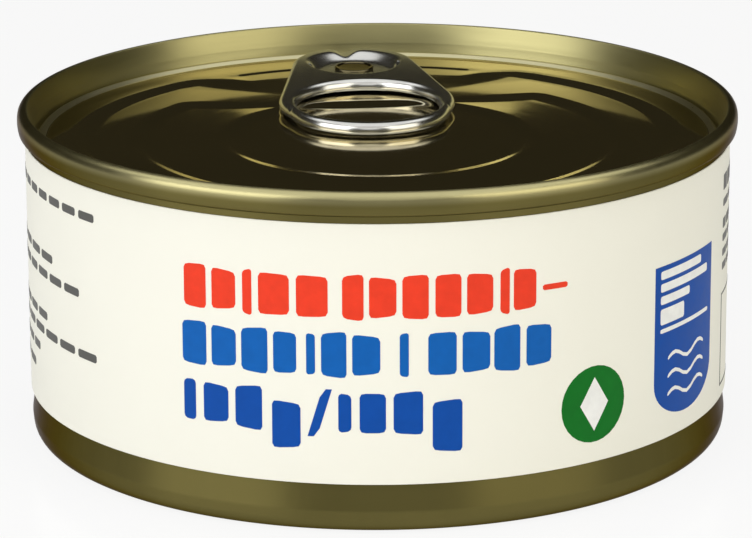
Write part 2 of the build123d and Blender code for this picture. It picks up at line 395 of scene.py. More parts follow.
def rounded_outline(corners, arc_steps=7):
    """Points along a (radius, height, rounding) outline, with an arc at each rounded corner."""
    points = [Vector(corners[0][:2])]
    for before, corner, after in zip(corners, corners[1:], corners[2:]):
        here, rounding = Vector(corner[:2]), corner[2]
        arriving = (here - Vector(before[:2])).normalized()
        leaving = (Vector(after[:2]) - here).normalized()
        bend = arriving.angle_signed(leaving)
        if not rounding or abs(bend) < 1e-4:
            points.append(here)
            continue
        reach = rounding * math.tan(abs(bend) / 2)
        start, end = here - arriving * reach, here + leaving * reach
        centre = middle_of(start, end, here, rounding)
        for step in range(arc_steps + 1):
            part = step / arc_steps
            arm = math.sin(abs(bend) * (1 - part)) * (start - centre)
            arm += math.sin(abs(bend) * part) * (end - centre)
            points.append(centre + arm / math.sin(abs(bend)))
    points.append(Vector(corners[-1][:2]))
    return points


def middle_of(start, end, corner, rounding):
    """Centre of the arc that touches both arms of a corner at start and end."""
    chord_middle = (start + end) / 2
    towards = (chord_middle - corner).normalized()
    depth = math.sqrt(max(rounding**2 - (end - start).length_squared / 4, 0))
    return chord_middle + towards * depth


def grid_faces(rows, columns):
    """Quads of a grid whose columns close into a ring."""
    faces = []
    for row in range(rows - 1):
        base = row * columns
        for column in range(columns):
            following = (column + 1) % columns
            faces.append((base + column, base + following,
                          base + columns + following, base + columns + column))
    return faces


def turned_points(outline, angles):
    """Points of an outline of (radius, height) turned about Z, one row for each outline point."""
    radius, height = np.array([tuple(point) for point in outline]).T
    x = np.outer(radius, np.sin(angles))
    y = -np.outer(radius, np.cos(angles))
    z = np.repeat(height[:, None], len(angles), 1)
    return np.stack([x, y, z], -1)


def closed_by_fans(rings):
    """Vertices and faces of stacked rings, closed by a fan at the first and the last of them."""
    rows, columns = rings.shape[:2]
    first, last = rings[0].mean(0), rings[-1].mean(0)
    vertices = np.vstack([rings.reshape(-1, 3), first, last])
    faces = grid_faces(rows, columns)
    head, tail = rows * columns, rows * columns + 1
    base = (rows - 1) * columns
    for column in range(columns):
        following = (column + 1) % columns
        faces.append((head, following, column))
        faces.append((tail, base + column, base + following))
    return vertices, faces


def closed_tube(rings):
    """Vertices and faces of rings that come back to the first of them, which is given twice."""
    rows, columns = rings.shape[:2]
    vertices = rings[:-1].reshape(-1, 3)
    faces = [tuple(corner % len(vertices) for corner in face) for face in grid_faces(rows, columns)]
    return vertices, faces


def add_piece(name, vertices, faces, materials, node=None, smooth=35):
    """Makes a mesh piece that rides with the can, shaded smooth but for bends sharper than that."""
    mesh = bpy.data.meshes.new(name)
    mesh.from_pydata(np.asarray(vertices).tolist(), [], faces)
    mesh.validate()
    for material in materials:
        mesh.materials.append(material)
    piece = bpy.data.objects.new(name, mesh)
    bpy.context.scene.collection.objects.link(piece)
    shade(mesh, smooth)
    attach(piece, "root")
    if node:
        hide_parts(node)
    return piece


def shade(mesh, smooth):
    """Smooth shading that keeps bends sharper than the given degrees crisp."""
    mesh.polygons.foreach_set("use_smooth", [True] * len(mesh.polygons))
    mesh.set_sharp_from_angle(angle=math.radians(smooth))


# ------------------------------------------------------------------ finishes


def add_node(tree, kind, inputs=(), **settings):
    """Adds a shader node. An input that is a socket is linked, and any other value is set."""
    made = tree.nodes.new(kind)
    for name, value in settings.items():
        setattr(made, name, value)
    for name, value in dict(inputs).items():
        if isinstance(value, bpy.types.NodeSocket):
            tree.links.new(value, made.inputs[name])
        else:
            made.inputs[name].default_value = value
    return made


def combine(tree, operation, first, second):
    """Works out one number from two, each a socket or a plain value."""
    return add_node(tree, "ShaderNodeMath", {0: first, 1: second}, operation=operation).outputs[0]


def new_finish(name):
    """An empty node material and its Principled shader."""
    material = bpy.data.materials.new(name)
    material.use_nodes = True
    return material, material.node_tree, material.node_tree.nodes["Principled BSDF"]


def place(tree):
    """The point's place on the object, in metres."""
    return add_node(tree, "ShaderNodeTexCoord").outputs["Object"]


def round_place(tree, radius):
    """The point's place as (length round the can, distance from its axis, height)."""
    parts = add_node(tree, "ShaderNodeSeparateXYZ", {"Vector": place(tree)}).outputs
    length = combine(tree, "MULTIPLY", combine(tree, "ARCTAN2", parts["X"], parts["Y"]), radius)
    across = add_node(tree, "ShaderNodeCombineXYZ", {"X": parts["X"], "Y": parts["Y"]})
    distance = add_node(tree, "ShaderNodeVectorMath", {0: across.outputs[0]}, operation="LENGTH")
    inputs = {"X": length, "Y": distance.outputs["Value"], "Z": parts["Z"]}
    return add_node(tree, "ShaderNodeCombineXYZ", inputs).outputs[0]


def noise(tree, where, scale, detail=3.0, stretch=(1, 1, 1)):
    """Noise from 0 to 1 at a place, finer along an axis that is stretched more."""
    mapped = add_node(tree, "ShaderNodeMapping", {"Vector": where, "Scale": stretch}).outputs[0]
    inputs = {"Vector": mapped, "Scale": scale, "Detail": detail, "Roughness": 0.55}
    return add_node(tree, "ShaderNodeTexNoise", inputs).outputs["Fac"]


def between(tree, share, low, high):
    """A number that goes from low to high as share goes from 0.3 to 0.7."""
    inputs = {"Value": share, "From Min": 0.3, "From Max": 0.7, "To Min": low, "To Max": high}
    return add_node(tree, "ShaderNodeMapRange", inputs).outputs[0]


def tint(tree, share, base, spread):
    """A colour that varies round base, darker and lighter by the spread."""
    ramp = add_node(tree, "ShaderNodeValToRGB", {"Fac": share})
    ramp.color_ramp.elements[0].position = 0.3
    ramp.color_ramp.elements[1].position = 0.7
    ramp.color_ramp.elements[0].color = [part * (1 - spread) for part in base] + [1]
    ramp.color_ramp.elements[1].color = [min(part * (1 + spread), 1) for part in base] + [1]
    return ramp.outputs["Color"]


def bump(tree, height, strength):
    """Fine relief."""
    inputs = {"Height": height, "Strength": strength, "Distance": 0.02 * MM}
    return add_node(tree, "ShaderNodeBump", inputs).outputs["Normal"]


def link(tree, shader, **sockets):
    """Links outputs to the shader's inputs, named with _ for a space."""
    for name, output in sockets.items():
        tree.links.new(output, shader.inputs[name.replace("_", " ")])


def lacquered_metal(name, base, edge, roughness, streaks, streak_gloss, relief,
                    brushed=0.0, crest_highlight=None):
    """Lacquered metal with fine drawing streaks.

    edge tints it at a low angle, streaks stretches the noise round the can, across it and up it,
    brushed draws highlights out along the can's height, and crest_highlight gives a paler colour
    along the crest, a painted highlight, with the levels between which it sets in.
    """
    material, tree, shader = new_finish(name)
    shader.inputs["Metallic"].default_value = 1.0
    shader.inputs["Specular Tint"].default_value = (*edge, 1.0)
    if brushed:
        shader.inputs["Anisotropic"].default_value = brushed
        shader.inputs["Anisotropic Rotation"].default_value = 0.25
        round_axis = add_node(tree, "ShaderNodeTangent", direction_type="RADIAL", axis="Z")
        link(tree, shader, Tangent=round_axis.outputs["Tangent"])
    lines = noise(tree, round_place(tree, 42 * MM), scale=1.0, detail=4.0, stretch=streaks)
    grain = noise(tree, place(tree), scale=2600.0, detail=2.0)
    tone = tint(tree, noise(tree, place(tree), scale=45.0), base, spread=0.07)
    # Paler colour towards the crest: a painted highlight
    if crest_highlight:
        tone = painted_highlight_above(tree, tone, *crest_highlight)
    link(tree, shader,
         Base_Color=tone,
         Roughness=between(tree, lines, roughness - streak_gloss, roughness + streak_gloss),
         Normal=bump(tree, add_both(tree, lines, grain), relief))
    return material


def painted_highlight_above(tree, tone, pale, low, high):
    """A colour that goes over to a paler one between two levels, which paints a highlight."""
    level = add_node(tree, "ShaderNodeSeparateXYZ", {"Vector": place(tree)}).outputs["Z"]
    share = add_node(tree, "ShaderNodeMapRange", {"Value": level, "From Min": low, "From Max": high},
                     interpolation_type="SMOOTHSTEP").outputs["Result"]
    inputs = {"Factor": share, 6: tone, 7: (*pale, 1.0)}
    return add_node(tree, "ShaderNodeMix", inputs, data_type="RGBA").outputs[2]


def add_both(tree, first, second):
    """The mean of two patterns."""
    return combine(tree, "MULTIPLY", combine(tree, "ADD", first, second), 0.5)


def bright_steel(name, base):
    """Bare tinned steel with fine scuffs."""
    material, tree, shader = new_finish(name)
    shader.inputs["Metallic"].default_value = 1.0
    scuffs = noise(tree, place(tree), scale=900.0, detail=5.0, stretch=(1.0, 0.25, 1.0))
    link(tree, shader,
         Base_Color=tint(tree, noise(tree, place(tree), scale=160.0), base, spread=0.08),
         Roughness=between(tree, scuffs, 0.205, 0.225),
         Normal=bump(tree, scuffs, 0.003))
    return material


def paper(name, base):
    """Smooth label paper with a faint fibre."""
    material, tree, shader = new_finish(name)
    shader.inputs["Specular IOR Level"].default_value = 0.35
    fibre = noise(tree, place(tree), scale=1500.0, detail=4.0)
    link(tree, shader,
         Base_Color=tint(tree, noise(tree, place(tree), scale=30.0), base, spread=0.012),
         Roughness=between(tree, fibre, 0.42, 0.52),
         Normal=bump(tree, fibre, 0.10))
    return material


def ink(name, base):
    """Printed ink with a slight mottle."""
    material, tree, shader = new_finish(name)
    shader.inputs["Specular IOR Level"].default_value = 0.12
    mottle = noise(tree, place(tree), scale=700.0, detail=3.0)
    link(tree, shader,
         Base_Color=tint(tree, mottle, base, spread=0.05),
         Roughness=between(tree, mottle, 0.36, 0.46),
         Normal=bump(tree, mottle, 0.06))
    return material


# ---------------------------------------------------------------------- body


def body_outline(body):
    """Outline of the drawn body, from the top down and in to the middle of the bottom."""
    foot_outer = body.radius - body.corner
    foot_inner = foot_outer - body.foot_width
    above_waist, at_waist = body.waist_bends
    corners = [
        (body.radius, body.top, 0),
        (body.radius, body.waist + above_waist, above_waist),
        (body.radius - body.waist_depth, body.waist, at_waist),
        (body.radius + body.belly_swell, body.belly, body.belly_rounding),
        (body.radius - body.foot_inset, 0, body.corner),
        (foot_inner, 0, body.step_rounding),
        (foot_inner - body.wall_draft, body.recess, body.step_rounding),
    ]
    level = body.recess
    for radius in body.step_radii:
        corners.append((radius, level, body.step_rounding))
        level -= body.step_drop
        corners.append((radius - body.step_width, level, body.step_rounding))
    corners.append((HUB, level, 0))
    return rounded_outline(corners, 10)


# ----------------------------------------------------------------------- end


def seam_outline(end):
    """Outline of groove, chuck wall, seam and neck, from the panel's edge outwards and down."""
    body = bpy.context.scene.body_sizes
    panel_run, panel_rise = end.panel_end
    inner_bend, outer_bend = end.groove_bends
    bow_run, bow_rise, bow_rounding = end.wall_bow
    wall_run, wall_rounding = end.wall_crest
    crest_inset, crest_rounding = end.seam_crest
    side_height, side_rounding = end.seam_side
    hem_inset, hem_rounding = end.seam_hem
    heel_width, heel_rise, heel_rounding = end.seam_heel
    neck_drop, neck_rounding = end.neck_bend
    corners = [
        (end.shoulder_radius + panel_run, end.groove_floor + panel_rise, 0),
        (end.shoulder_radius + end.groove_start, end.groove_floor, inner_bend),
        (end.wall_foot - end.groove_end, end.groove_floor, outer_bend),
        (end.wall_foot + bow_run, end.groove_floor + bow_rise, bow_rounding),
        (end.seam_radius - end.seam_thickness + wall_run, end.height, wall_rounding),
        (end.seam_radius - crest_inset, end.height, crest_rounding),
        (end.seam_radius, end.seam_foot + side_height, side_rounding),
        (end.seam_radius - hem_inset, end.seam_foot, hem_rounding),
        (body.radius + heel_width, end.seam_foot + heel_rise, heel_rounding),
        (body.radius, end.seam_foot - neck_drop, neck_rounding),
        (body.radius, body.top, 0),
        (HUB, body.top, 0),
    ]
    return rounded_outline(corners, 6)


def front_knots(end):
    """Radial section of the panel in front of the straight step, from the middle outwards."""
    lean = math.tan(end.flat_lean)
    outer, middle, inner = end.step_radii
    outer_width, middle_width, inner_width = end.step_widths
    outer_foot, middle_foot, inner_foot = end.step_feet
    slope_foot, slope_head = end.bead_slope
    top_end, top_fall = end.bead_top
    return [
        (0, inner_foot + end.middle_rise),
        (inner - inner_width, inner_foot),
        (inner, middle_foot),
        (middle - middle_width, middle_foot),
        (middle, outer_foot + lean * (outer - outer_width - middle)),
        (outer - outer_width, outer_foot),
        (outer, end.rim_level),
        (end.shoulder_radius - slope_foot, end.rim_level),
        (end.shoulder_radius - slope_head, end.shoulder_level),
        (end.shoulder_radius + top_end, end.shoulder_level - top_fall),
        (end.shoulder_radius + end.groove_start, end.groove_floor),
    ]


def back_knots(end):
    """The same behind the straight step, where one flat runs in from the outer step."""
    foot, level = end.step_radii[0] - end.step_widths[0], end.step_feet[0]
    return [(0, level + math.tan(end.back_lean) * foot), (foot, level)] + front_knots(end)[-5:]


def fading(around, end, fade):
    """0 near the arc groove and 1 well past it, with the change between two angles past its end."""
    return ease(around, *(end.bay_turn + math.radians(degrees) for degrees in fade))


def bay_height(radius, around, end):
    """Height of the bay behind the pull, with the arc groove along its top."""
    outer = end.step_radii[0]
    foot = outer - end.step_widths[0]
    spread = np.maximum(np.cos(around) - end.bay_spread * np.sin(around), LEAST_SPREAD)
    bay_foot = foot - hinge(foot - end.bay_start / spread, end.bay_rounding)
    bay_top = end.bay_top + fading(around, end, BAY_TOP_FADE) * (outer - end.bay_top)
    shelf = end.step_feet[0] + math.tan(end.back_lean) * (foot - radius)
    sunk = 1 - ease(radius, end.groove_radius - end.groove_wall, end.groove_radius)
    ledge = end.rim_level - end.groove_depth * sunk * (1 - fading(around, end, GROOVE_FADE))
    share = np.clip((radius - bay_foot) / (bay_top - bay_foot), 0, 1)
    return shelf + (ledge - shelf) * share**2


def panel_height(x, y, end):
    """Height of the pressed panel at a point in the end's own frame."""
    radius = np.hypot(x, y)
    around = np.abs(np.arctan2(x, y))
    crowned = np.clip(end.crown_radius - radius, 0, end.crown_radius - end.step_radii[2])
    front = rounded_line(radius, front_knots(end), end.step_rounding) + end.crown_curve * crowned**2
    back = rounded_line(radius, back_knots(end), end.step_rounding)
    in_bay = (radius < end.step_radii[0]) * (1 - fading(around, end, BAY_FADE))
    back = back + (bay_height(radius, around, end) - back) * in_bay
    before = end.straight_step + end.straight_bow * x**2 - y
    step = hinge(before, end.straight_rounding)
    step = step - hinge(before - end.straight_width, end.straight_rounding)
    height = back + (front - back) * step / end.straight_width
    scored = np.clip(1 - np.abs(radius - end.score_radius) / (end.score_width / 2), 0, 1)
    return height - end.score_depth * scored


def panel_radii(end):
    """Radii of the panel's mesh rings: close together on the bends and at the tear line."""
    return np.concatenate([
        np.arange(*HUB_RINGS) * MM,
        np.arange(*STEP_RINGS) * MM,
        end.score_radius + np.array(SCORE_RINGS) * MM,
        end.shoulder_radius + np.array(BEAD_RINGS) * MM,
    ])


def end_rings(end):
    """All rings of the end: the pressed panel, then the groove, wall, seam, neck and underside."""
    angles = np.linspace(0, 2 * math.pi, AROUND, endpoint=False)
    radii = panel_radii(end)
    x = np.outer(radii, np.sin(angles))
    y = -np.outer(radii, np.cos(angles))
    cosine, sine = math.cos(end.lid_turn), math.sin(end.lid_turn)
    z = panel_height(x * cosine + y * sine, y * cosine - x * sine, end)
    panel = np.stack([x, y, z], -1)
    return np.concatenate([panel, turned_points(seam_outline(end)[1:], angles)])


# ---------------------------------------------------------------- ring pull


def capsule_distance(x, y, first, second):
    """Distance outside the hull of two circles on the Y axis, each given as (middle, radius)."""
    length = second[0] - first[0]
    lean = (first[1] - second[1]) / length
    upright = math.sqrt(1 - lean**2)
    x, y = np.abs(x), y - first[0]
    along = upright * y - lean * x
    side = upright * x + lean * y - first[1]
    start = np.hypot(x, y) - first[1]
    end = np.hypot(x, y - length) - second[1]
    return np.where(along < 0, start, np.where(along > upright * length, end, side))


def rim_distance(x, y, pull):
    """Distance outside the pull's outline."""
    front = capsule_distance(x, y, pull.finger_end, pull.shoulders)
    back = capsule_distance(x, y, pull.shoulders, pull.nose)
    return np.minimum(front, back)


def hole_distance(x, y, pull):
    """Distance outside the finger hole."""
    ends = [(middle, pull.hole_radius) for middle in pull.hole_ends]
    return capsule_distance(x, y, *ends)


def reach(distance, pull, angles, middle):
    """Lengths of rays from the hole's middle to the edge where a distance is zero."""
    near = np.zeros_like(angles)
    far = np.full_like(angles, 40 * MM)
    for _ in range(40):
        trial = (near + far) / 2
        inside = distance(trial * np.sin(angles), middle - trial * np.cos(angles), pull) < 0
        near, far = np.where(inside, trial, near), np.where(inside, far, trial)
    return near


def pull_surface(x, y, pull):
    """Heights of the pull's top and underside at points of its outline."""
    edge = np.minimum(-rim_distance(x, y, pull), hole_distance(x, y, pull))
    bend = np.clip(1 - edge / pull.roll, 0, 1)
    rounding = np.sqrt(1 - bend**2)
    top = pull.face_foot + (pull.thickness - pull.face_foot) * rounding
    from_rivet = np.hypot(x, y - pull.rivet_place)
    behind = ease(y - pull.rivet_place, *pull.dish_range)
    head, foot = pull.island_wall
    wall_top = pull.island_radius + head + behind * (pull.dish_radius - pull.island_radius)
    wall_foot = pull.island_radius - foot - behind * pull.dish_slope
    bend = pull.island_bend + behind * pull.dish_bend
    risen = hinge(from_rivet - wall_foot, bend) - hinge(from_rivet - wall_top, bend)
    dish = 1 - risen / (wall_top - wall_foot)
    notch = np.exp(-((x + pull.notch_offset) / pull.notch_width) ** 2)
    notch *= ease(y - pull.rivet_place, *pull.notch_range)
    nick_x, nick_y = pull.nick_place
    nicks = np.exp(-((np.abs(x) - nick_x) ** 2 + (y - nick_y) ** 2) / pull.nick_radius**2)
    top = top - np.maximum(pull.island_depth * dish, pull.notch_depth * notch) * rounding
    top -= pull.nick_depth * nicks
    under = pull.face_foot * (1 - rounding)
    return top, under + pull.hollow_depth * ease(edge, *pull.hollow_range)


def pull_points(pull, around=720, across=56, below=14):
    """Rings of the pull, each one running over the top from the hole's edge and back below."""
    angles = np.linspace(0, 2 * math.pi, around, endpoint=False)
    middle = sum(pull.hole_ends) / 2
    inner = reach(hole_distance, pull, angles, middle)
    outer = reach(rim_distance, pull, angles, middle)
    shares_top = (1 - np.cos(np.linspace(0, math.pi, across))) / 2
    shares_under = (1 + np.cos(np.linspace(0, math.pi, below + 2)[1:-1])) / 2
    rows = []
    for shares, side in ((shares_top, 0), (shares_under, 1)):
        for share in shares:
            length = inner + (outer - inner) * share
            x, y = length * np.sin(angles), middle - length * np.cos(angles)
            rows.append(np.stack([x, y, pull_surface(x, y, pull)[side]], -1))
    rows.append(rows[0])
    return np.array(rows)


def slit_cutter(pull, steps=48, cap_steps=7):
    """A curved bar that cuts the slit round the rivet's island."""
    half_width = pull.slit_width / 2
    turns = np.linspace(-pull.slit_span / 2, pull.slit_span / 2, steps)
    cap = np.linspace(0, math.pi, cap_steps)[1:-1]
    points = [bar_point(pull, turn, half_width, 0) for turn in turns]
    points += [bar_point(pull, turns[-1], half_width, angle) for angle in cap]
    points += [bar_point(pull, turn, -half_width, 0) for turn in turns[::-1]]
    points += [bar_point(pull, turns[0], -half_width, angle) for angle in cap]
    count = len(points)
    vertices = [(x, pull.rivet_place + y, z) for z in (-1 * MM, 3 * MM) for x, y in points]
    faces = [tuple(range(count))[::-1], tuple(range(count, 2 * count))]
    for index in range(count):
        following = (index + 1) % count
        faces.append((index, following, count + following, count + index))
    mesh = bpy.data.meshes.new("slit_cutter")
    mesh.from_pydata(vertices, [], faces)
    cutter = bpy.data.objects.new("slit_cutter", mesh)
    bpy.context.scene.collection.objects.link(cutter)
    return cutter


def bar_point(pull, place, half_width, angle):
    """A point of a curved bar: on its side at angle 0, and on its round end at a larger angle."""
    outward = Vector((math.sin(place), -math.cos(place)))
    onward = Vector((math.cos(place), math.sin(place)))
    side, end = half_width * math.cos(angle), half_width * math.sin(angle)
    return tuple(outward * (pull.slit_radius + side) + onward * end)


def pull_seat(pull, end):
    """Places the pull's frame on the end."""
    lift = Matrix.Translation((0, 0, pull.seat_height))
    return Matrix.Rotation(end.lid_turn, 4, "Z") @ lift @ Matrix.Rotation(pull.tilt, 4, "X")


def cut(piece, cutter):
    """Cuts one mesh with another for good."""
    modifier = piece.modifiers.new("slit", "BOOLEAN")
    modifier.operation = "DIFFERENCE"
    modifier.solver = "EXACT"
    modifier.object = cutter
    bpy.context.view_layer.update()
    graph = bpy.context.evaluated_depsgraph_get()
    result = bpy.data.meshes.new_from_object(piece.evaluated_get(graph))
    piece.modifiers.clear()
    piece.data = result
    bpy.data.objects.remove(cutter)


def rivet_outline(pull):
    """Outline of the rivet over the island, from the middle of its dish outwards and down."""
    floor = pull.thickness - pull.island_depth
    corners = [
        (radius * MM, level + height * MM, rounding * MM)
        for level, rows in ((floor, RIVET_OVER_ISLAND), (0, RIVET_OVER_PULL_FOOT))
        for radius, height, rounding in rows
    ]
    return rounded_outline(corners, 6)


# --------------------------------------------------------------------- label


def sleeve_rings(label):
    """Rings of the paper sleeve, with the glued overlap at the back."""
    angles = np.linspace(-math.pi, math.pi, AROUND, endpoint=False)
    length = (angles + math.pi) * label.radius
    lap = np.where(length < label.lap, label.lap_step, 0)
    inner = label.radius - label.thickness
    rounding = 0.04 * MM
    outline = [
        (inner, label.bottom, 0), (label.radius - rounding, label.bottom, 0),
        (label.radius, label.bottom + rounding, 1), (label.radius, label.top - rounding, 1),
        (label.radius - rounding, label.top, 0), (inner, label.top, 0), (inner, label.bottom, 0),
    ]
    rows = []
    for radius, height, lifted in outline:
        reach_out = radius + lap * lifted
        rows.append(np.stack([reach_out * np.sin(angles), -reach_out * np.cos(angles),
                              np.full_like(angles, height)], -1))
    return np.array(rows)


class Print:
    """Collects flat printed shapes that wrap round the paper, as one mesh."""

    def __init__(self, radius, proud):
        self.radius = radius
        self.proud = proud
        self.vertices = []
        self.faces = []

    def column_shape(self, left, right, lower, upper, corner=0.0):
        """A shape between two edges, each a function of the length along the label."""
        count = max(6, int((right - left) / STRIP_WIDTH))
        shares = (1 - np.cos(np.linspace(0, math.pi, count + 1))) / 2
        along = left + (right - left) * shares
        from_end = np.minimum(along - left, right - along)
        low, high = lower(along) + 0 * along, upper(along) + 0 * along
        if corner:
            part = np.clip(1 - from_end / corner, 0, 1)
            cut_in = corner * (1 - np.sqrt(1 - part**2))
            low, high = low + cut_in, high - cut_in
        high = np.maximum(high, low + 0.01 * MM)
        start = len(self.vertices)
        for radius in (self.radius - PRINT_PROUD, self.radius + self.proud):
            for height in (low, high):
                angle = along / self.radius
                self.vertices += list(zip(radius * np.sin(angle), -radius * np.cos(angle), height))
        columns = len(along)
        back_low, back_high, front_low, front_high = (start + columns * row for row in range(4))
        for step in range(columns - 1):
            here, there = step, step + 1
            for a, b in ((front_low, front_high), (back_high, back_low),
                         (back_low, front_low), (front_high, back_high)):
                self.faces.append((a + here, a + there, b + there, b + here))
        for step, order in ((0, 1), (columns - 1, -1)):
            corners = (back_low + step, front_low + step, front_high + step, back_high + step)
            self.faces.append(corners[::order])

    def bar(self, left, right, bottom, top, lean=0.0, corner=0.3 * MM):
        """A rounded bar. lean slopes its two long edges against each other."""
        width = right - left
        self.column_shape(left, right,
                          lambda along: bottom + lean * (along - left) / width,
                          lambda along: top - lean * (along - left) / width, corner)

    def row(self, bars, bottom, top, prints):
        """A row of bars, each a little out of square in its own way."""
        for index, (left, width) in enumerate(bars):
            lean = prints.bar_lean * math.sin(2.4 * index + len(bars))
            corner = min(prints.bar_corner, 0.3 * width * MM)
            self.bar(left * MM, (left + prints.bar_fill * width) * MM,
                     bottom + prints.bar_inset, top - prints.bar_inset, lean, corner)

    def slant(self, left, right, bottom, top, width):
        """A bar that leans from its lower left end to its upper right end."""
        rise = (top - bottom) / (right - left - width)
        self.column_shape(left, right,
                          lambda along: np.clip(bottom + rise * (along - left - width), bottom, top),
                          lambda along: np.clip(bottom + rise * (along - left), bottom, top))

    def disc(self, middle, height, radius):
        """A disc."""
        def half(along):
            return np.sqrt(np.clip(radius**2 - (along - middle) ** 2, 0, None))
        self.column_shape(middle - radius, middle + radius,
                          lambda along: height - half(along), lambda along: height + half(along))

    def diamond(self, middle, height, half_width, half_height):
        """A diamond."""
        def half(along):
            return half_height * (1 - np.abs(along - middle) / half_width)
        self.column_shape(middle - half_width, middle + half_width,
                          lambda along: height - half(along), lambda along: height + half(along))

    def wave(self, left, right, height, swing, half_width):
        """A wavy line."""
        def line(along):
            return height + swing * np.sin(2 * math.pi * 1.5 * (along - left) / (right - left))
        self.column_shape(left, right, lambda along: line(along) - half_width,
                          lambda along: line(along) + half_width, half_width)

    def finish(self, name, material):
        """Makes the mesh piece."""
        return add_piece(name, self.vertices, self.faces, [material], smooth=30)


def small_words(start, end, shortest, spread, gap, pace, shift):
    """Left and right ends of a small line's dashes in millimetres, laid from start towards end."""
    towards = 1 if end > start else -1
    index = 0
    while towards * (end - start) > 0:
        stop = start + towards * (shortest + spread * abs(math.sin(pace * index + shift)))
        yield min(start, stop), max(start, stop)
        start = stop + towards * gap
        index += 1


# ----------------------------------------------------------------- operators


class MESH_OT_can_body(bpy.types.Operator):
    """Makes the drawn body with its foot ring and stepped bottom."""

    bl_idname = "mesh.tuna_can_body"
    bl_label = "Drawn body"

    def execute(self, context):
        body = context.scene.body_sizes
        finishes = context.scene.finishes
        angles = np.linspace(0, 2 * math.pi, AROUND, endpoint=False)
        outline = [Vector((HUB, body.top))] + body_outline(body)
        vertices, faces = closed_by_fans(turned_points(outline[::-1], angles))
        # The body takes the darkened copy of the gold lacquer: painted shade
        shaded_gold = lacquered_metal("gold_wall", finishes.shaded_gold, finishes.edge_gold, roughness=0.33,
                               streaks=(1500, 100, 60), streak_gloss=0.03, relief=0.0, brushed=0.7)
        add_piece("can_body_drawn", vertices, faces, [shaded_gold], "can_body")
        return {"FINISHED"}


class MESH_OT_can_end(bpy.types.Operator):
    """Makes the seamed end with its pressed panel."""

    bl_idname = "mesh.tuna_can_end"
    bl_label = "Seamed end"

    def execute(self, context):
        end = context.scene.end_sizes
        finishes = context.scene.finishes
        # The panel, chuck wall and bead take paler copies of the one gold lacquer: painted light
        panel = lacquered_metal("gold_panel", finishes.lit_panel_gold, finishes.panel_edge,
                                roughness=0.07, streaks=(90, 900, 90), streak_gloss=0.015, relief=0.01)
        wall = lacquered_metal("gold_chuck_wall", finishes.lit_wall_gold, finishes.panel_edge,
                               roughness=0.34, streaks=(50, 300, 2600), streak_gloss=0.03, relief=0.012)
        # The seam takes the darkened gold (painted shade) and turns paler towards its crest (painted
        # highlight)
        highlight_from, highlight_to = end.crest_highlight_band
        seam = lacquered_metal("gold_seam", finishes.shaded_gold, finishes.edge_gold, roughness=0.33,
                               streaks=(1500, 200, 60), streak_gloss=0.02, relief=0.0, brushed=0.6,
                               crest_highlight=(finishes.crest_highlight_gold, end.height - highlight_from, end.height - highlight_to))
        bead = lacquered_metal("gold_bead", finishes.bead_highlight_gold, finishes.panel_edge,
                               roughness=0.3, streaks=(90, 900, 90), streak_gloss=0.03, relief=0.01)
        vertices, faces = closed_by_fans(end_rings(end))
        metals = [panel, wall, seam, bead]
        piece = add_piece("end_panel_and_seam", vertices, faces, metals, "lid", 50)
        wall_start = end.wall_foot - 0.1 * MM
        wall_end = end.seam_radius - end.seam_thickness + 0.2 * MM
        for face in piece.data.polygons:
            spot = math.hypot(face.center.x, face.center.y)
            if spot > wall_start:
                on_wall = spot < wall_end and face.center.z > end.groove_floor
                face.material_index = metals.index(wall if on_wall else seam)
            # Faces on the bead band take the paler bead colour, a painted highlight
            elif spot > end.shoulder_radius - end.bead_highlight_width:
                face.material_index = metals.index(bead)
        return {"FINISHED"}


class MESH_OT_ring_pull(bpy.types.Operator):
    """Makes the ring pull with its rolled rim, finger hole, island, slit and notched nose."""

    bl_idname = "mesh.tuna_can_ring_pull"
    bl_label = "Ring pull"

    def execute(self, context):
        pull = context.scene.pull_sizes
        vertices, faces = closed_tube(pull_points(pull))
        steel = bright_steel("bright_steel", context.scene.finishes.steel)
        piece = add_piece("ring_pull", vertices, faces, [steel], "pull_tab")
        cut(piece, slit_cutter(pull))
        piece.data.transform(pull_seat(pull, context.scene.end_sizes))
        shade(piece.data, 40)
        return {"FINISHED"}


class MESH_OT_rivet(bpy.types.Operator):
    """Makes the rivet that holds the ring pull."""

    bl_idname = "mesh.tuna_can_rivet"
    bl_label = "Rivet"

    def execute(self, context):
        pull = context.scene.pull_sizes
        finishes = context.scene.finishes
        angles = np.linspace(0, 2 * math.pi, 96, endpoint=False)
        vertices, faces = closed_by_fans(turned_points(rivet_outline(pull), angles))
        # The rivet takes a darker copy of the gold lacquer: painted shade
        shaded_gold = lacquered_metal("gold_rivet", finishes.shaded_rivet_gold, finishes.panel_edge,
                               roughness=0.16, streaks=(300, 300, 300), streak_gloss=0.03, relief=0.02)
        piece = add_piece("rivet_head", vertices, faces, [shaded_gold])
        seat = pull_seat(pull, context.scene.end_sizes)
        piece.data.transform(seat @ Matrix.Translation((0, pull.rivet_place, 0)))
        return {"FINISHED"}


class MESH_OT_label(bpy.types.Operator):
    """Makes the paper sleeve with its glued overlap at the back."""

    bl_idname = "mesh.tuna_can_label"
    bl_label = "Paper label"

    def execute(self, context):
        vertices, faces = closed_tube(sleeve_rings(context.scene.label_sizes))
        cream = paper("cream_paper", context.scene.finishes.paper)
        add_piece("paper_label", vertices, faces, [cream], "label")
        return {"FINISHED"}


